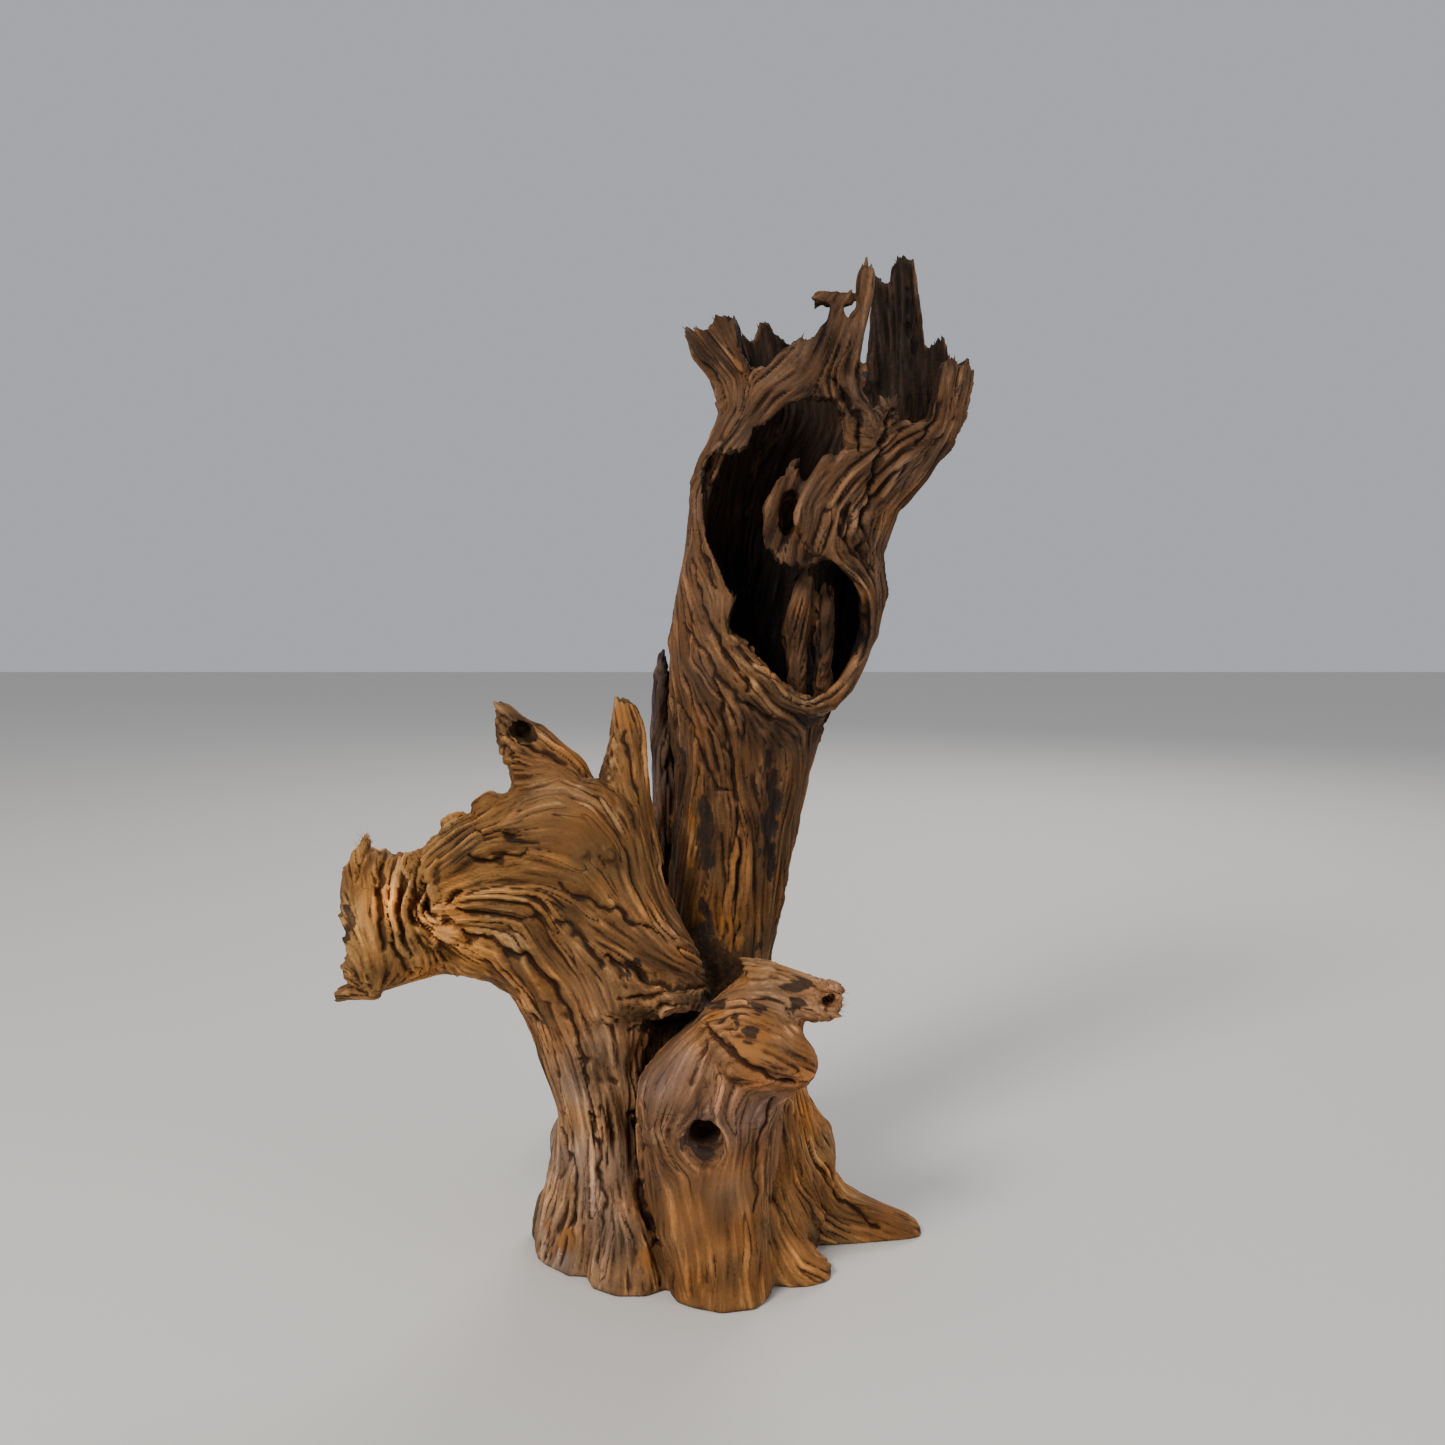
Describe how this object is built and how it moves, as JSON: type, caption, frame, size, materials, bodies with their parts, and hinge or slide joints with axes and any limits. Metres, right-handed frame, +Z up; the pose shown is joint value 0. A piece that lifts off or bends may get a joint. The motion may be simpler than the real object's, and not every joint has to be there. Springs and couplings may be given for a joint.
{
  "type": "driftwood stump",
  "caption": "Weathered driftwood stump with a hollow splintered trunk, a leaning horned branch and a knobbed stub, standing on spread roots.",
  "frame": {"origin": "on the floor, at the middle of the whole piece in x and y", "axes": "+Z up along the trunk, +X to the right as seen from the front, front towards -Y"},
  "size_m": [0.2975, 0.1581, 0.486],
  "materials": {
    "root_wood": "matt, fibrous, weathered brown",
    "trunk_wood": "matt, deeply grained grey brown",
    "branch_wood": "matt, worn golden brown with dark cracks",
    "stub_wood": "matt, worn smooth, purple brown",
    "spur_wood": "matt, charred and ridged, nearly black"
  },
  "bodies": {
    "root": {"root_crown": "root_wood", "right_root": "root_wood", "hollow_trunk": "trunk_wood", "left_branch": "branch_wood", "front_stub": "stub_wood", "rear_spur": "spur_wood"}
  },
  "joints": []
}
